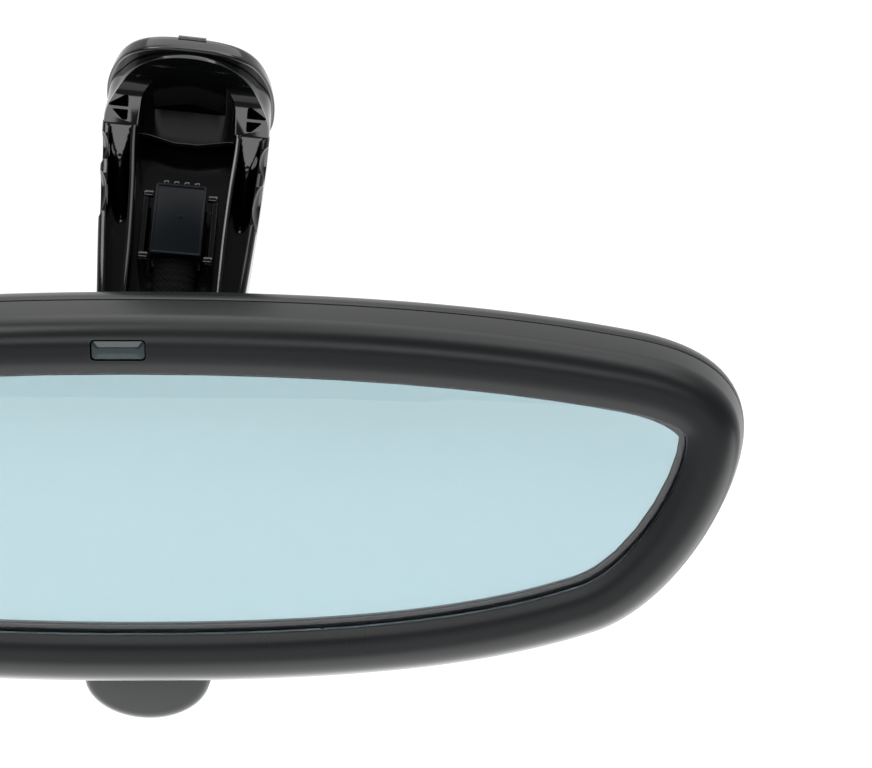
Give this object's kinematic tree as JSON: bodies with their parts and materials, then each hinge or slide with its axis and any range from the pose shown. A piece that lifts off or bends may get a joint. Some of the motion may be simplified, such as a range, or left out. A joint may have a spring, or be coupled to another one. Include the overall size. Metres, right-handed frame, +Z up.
{
  "type": "interior rearview mirror",
  "caption": "Automatic-dimming interior rearview mirror: wide rounded head with chamfered bezel, on a ball joint and a channel arm with windscreen foot.",
  "frame": {"origin": "point of the foot's top face that meets the windscreen pad (mount windscreen_seat)", "axes": "+X to the driver's right as the driver looks at the glass, +Y forwards from the glass to the windscreen, +Z up the head"},
  "size_m": [0.2554, 0.0978, 0.1483],
  "materials": {
    "satin_charcoal": "satin moulded plastic",
    "gloss_black": "glossy moulded plastic",
    "clear_glass": "polished clear glass",
    "mirror_silver": "reflective coating with a faint blue-green tint",
    "seal_epoxy": "dark epoxy bead",
    "tinned_copper": "tinned spring copper",
    "black_foam": "open-cell foam",
    "green_laminate": "solder-resist laminate",
    "black_resin": "moulded resin",
    "natural_nylon": "natural nylon",
    "smoked_clear": "polished smoked clear plastic",
    "steel": "zinc-plated steel",
    "black_sleeve": "woven protective sleeve",
    "black_rubber": "matte rubber"
  },
  "bodies": {
    "arm": {"mirror_arm": "gloss_black", "windscreen_foot": "gloss_black", "mount_spring": "steel", "foot_screw_left": "steel", "foot_screw_right": "steel", "ball_stud": "steel", "stud_nut": "steel", "wiring_connector": "gloss_black", "connector_bracket": "gloss_black", "connector_latch": "gloss_black", "wiring_harness": "black_sleeve"},
    "liner": {"socket_liner": "natural_nylon"},
    "cup": {"pressure_cup": "steel"},
    "head": {"bezel": "satin_charcoal", "rear_housing": "satin_charcoal", "ec_front_glass": "clear_glass", "ec_seal": "seal_epoxy", "ec_rear_glass": "mirror_silver", "bus_clip_top": "tinned_copper", "bus_clip_bottom": "tinned_copper", "foam_pad": "black_foam", "glass_carrier": "gloss_black", "circuit_board": "green_laminate", "control_chip": "black_resin", "board_header": "natural_nylon", "board_screw_1": "steel", "board_screw_2": "steel", "board_screw_3": "steel", "board_screw_4": "steel", "glare_sensor_lens": "smoked_clear", "glare_sensor": "black_resin", "ambient_sensor_lens": "smoked_clear", "ambient_sensor": "black_resin", "socket_block": "gloss_black", "pressure_spring": "steel", "retainer_ring": "steel", "cable_grommet": "black_rubber", "head_cable": "black_sleeve"}
  },
  "joints": [
    {"name": "head_swing", "type": "hinge", "parent": "arm", "child": "liner", "pos_m": [-0.0192, -0.04476, -0.0865], "axis": [0, 0, 1], "range_deg": [-18, 18]},
    {"name": "head_tilt", "type": "hinge", "parent": "liner", "child": "cup", "pos_m": [-0.0192, -0.04476, -0.0865], "axis": [1, 0, 0], "range_deg": [-14, 14]},
    {"name": "head_roll", "type": "hinge", "parent": "cup", "child": "head", "pos_m": [-0.0192, -0.04476, -0.0865], "axis": [0, 1, 0], "range_deg": [-8, 8]}
  ]
}
